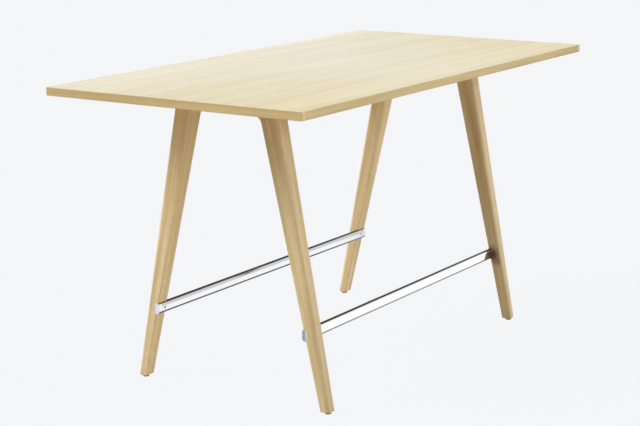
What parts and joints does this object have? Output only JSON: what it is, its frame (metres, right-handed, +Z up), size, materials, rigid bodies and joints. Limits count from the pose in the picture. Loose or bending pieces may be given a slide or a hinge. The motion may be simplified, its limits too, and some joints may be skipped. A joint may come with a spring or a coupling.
{
  "type": "standing meeting table",
  "caption": "Standing-height meeting table: rectangular oak-veneered top on splayed, tapered wooden trestles, with chromed oval foot rails between them and levelling glides in the feet.",
  "frame": {"origin": "on the floor, under the middle of the top", "axes": "+X along the top's length to the right, +Y across it to the rear, +Z up"},
  "size_m": [2, 1, 1.058],
  "materials": {
    "beam_bolts": "zinc plated",
    "beam": "black powder coat, fine texture",
    "beam_nuts": "plain steel, welded in",
    "beam_plug": "black moulded plug",
    "beam_washers": "zinc plated",
    "crossbar": "solid oak, matt lacquer",
    "edge_lipping_long": "solid oak lipping, matt lacquer",
    "edge_lipping_end": "solid oak lipping, matt lacquer, end grain on the long sides",
    "foot_rail": "bright chromed steel tube",
    "glide_cap": "dark moulded nylon",
    "glide_insert": "zinc plated, hidden",
    "glide_stud": "zinc plated",
    "knuckle_dowels": "fluted beech dowels, hidden",
    "leg": "solid oak, matt lacquer, grain along the leg",
    "rail_cap": "bright chromed end cap",
    "rail_inserts": "zinc plated, hidden",
    "rail_screws": "nickel plated",
    "rail_spacers": "plain steel, hidden",
    "tabletop_core": "particle board, hidden",
    "top_inserts": "zinc plated",
    "top_screws": "zinc plated",
    "top_veneer": "pale straight-grained oak veneer, matt lacquer",
    "underside_veneer": "plain balancing veneer, matt lacquer"
  },
  "bodies": {
    "table": {"beam_bolts": "beam_bolts", "beam_front": "beam", "beam_nuts": "beam_nuts", "beam_plug_left_front": "beam_plug", "beam_plug_left_rear": "beam_plug", "beam_plug_right_front": "beam_plug", "beam_plug_right_rear": "beam_plug", "beam_rear": "beam", "beam_washers": "beam_washers", "crossbar_left": "crossbar", "crossbar_right": "crossbar", "edge_lipping_front": "edge_lipping_long", "edge_lipping_left": "edge_lipping_end", "edge_lipping_rear": "edge_lipping_long", "edge_lipping_right": "edge_lipping_end", "foot_rail_front": "foot_rail", "foot_rail_rear": "foot_rail", "glide_insert_left_front": "glide_insert", "glide_insert_left_rear": "glide_insert", "glide_insert_right_front": "glide_insert", "glide_insert_right_rear": "glide_insert", "knuckle_dowels": "knuckle_dowels", "leg_left_front": "leg", "leg_left_rear": "leg", "leg_right_front": "leg", "leg_right_rear": "leg", "rail_cap_left_front": "rail_cap", "rail_cap_left_rear": "rail_cap", "rail_cap_right_front": "rail_cap", "rail_cap_right_rear": "rail_cap", "rail_inserts": "rail_inserts", "rail_screws": "rail_screws", "rail_spacers": "rail_spacers", "tabletop_core": "tabletop_core", "top_inserts": "top_inserts", "top_screws": "top_screws", "top_veneer": "top_veneer", "underside_veneer": "underside_veneer"},
    "glide_cap_left_front": {"glide_cap_left_front": "glide_cap"},
    "glide_stud_left_front": {"glide_stud_left_front": "glide_stud"},
    "glide_cap_left_rear": {"glide_cap_left_rear": "glide_cap"},
    "glide_stud_left_rear": {"glide_stud_left_rear": "glide_stud"},
    "glide_cap_right_front": {"glide_cap_right_front": "glide_cap"},
    "glide_stud_right_front": {"glide_stud_right_front": "glide_stud"},
    "glide_cap_right_rear": {"glide_cap_right_rear": "glide_cap"},
    "glide_stud_right_rear": {"glide_stud_right_rear": "glide_stud"}
  },
  "joints": [
    {"name": "glide_travel_left_front", "type": "slide", "parent": "table", "child": "glide_cap_left_front", "axis": [0, 0, -1], "range_m": [0, 0.01]},
    {"name": "glide_turn_left_front", "type": "hinge", "parent": "glide_cap_left_front", "child": "glide_stud_left_front", "pos_m": [-0.6655, -0.3795, 0], "axis": [0, 0, -1], "range_deg": [0, 2880]},
    {"name": "glide_travel_left_rear", "type": "slide", "parent": "table", "child": "glide_cap_left_rear", "axis": [0, 0, -1], "range_m": [0, 0.01]},
    {"name": "glide_turn_left_rear", "type": "hinge", "parent": "glide_cap_left_rear", "child": "glide_stud_left_rear", "pos_m": [-0.6655, 0.3795, 0], "axis": [0, 0, -1], "range_deg": [0, 2880]},
    {"name": "glide_travel_right_front", "type": "slide", "parent": "table", "child": "glide_cap_right_front", "axis": [0, 0, -1], "range_m": [0, 0.01]},
    {"name": "glide_turn_right_front", "type": "hinge", "parent": "glide_cap_right_front", "child": "glide_stud_right_front", "pos_m": [0.6655, -0.3795, 0], "axis": [0, 0, -1], "range_deg": [0, 2880]},
    {"name": "glide_travel_right_rear", "type": "slide", "parent": "table", "child": "glide_cap_right_rear", "axis": [0, 0, -1], "range_m": [0, 0.01]},
    {"name": "glide_turn_right_rear", "type": "hinge", "parent": "glide_cap_right_rear", "child": "glide_stud_right_rear", "pos_m": [0.6655, 0.3795, 0], "axis": [0, 0, -1], "range_deg": [0, 2880]}
  ],
  "couplings": [
    {"joint": "glide_travel_left_front", "follows": "glide_turn_left_front", "m_per_rad": 0.00019894},
    {"joint": "glide_travel_left_rear", "follows": "glide_turn_left_rear", "m_per_rad": 0.00019894},
    {"joint": "glide_travel_right_front", "follows": "glide_turn_right_front", "m_per_rad": 0.00019894},
    {"joint": "glide_travel_right_rear", "follows": "glide_turn_right_rear", "m_per_rad": 0.00019894}
  ]
}
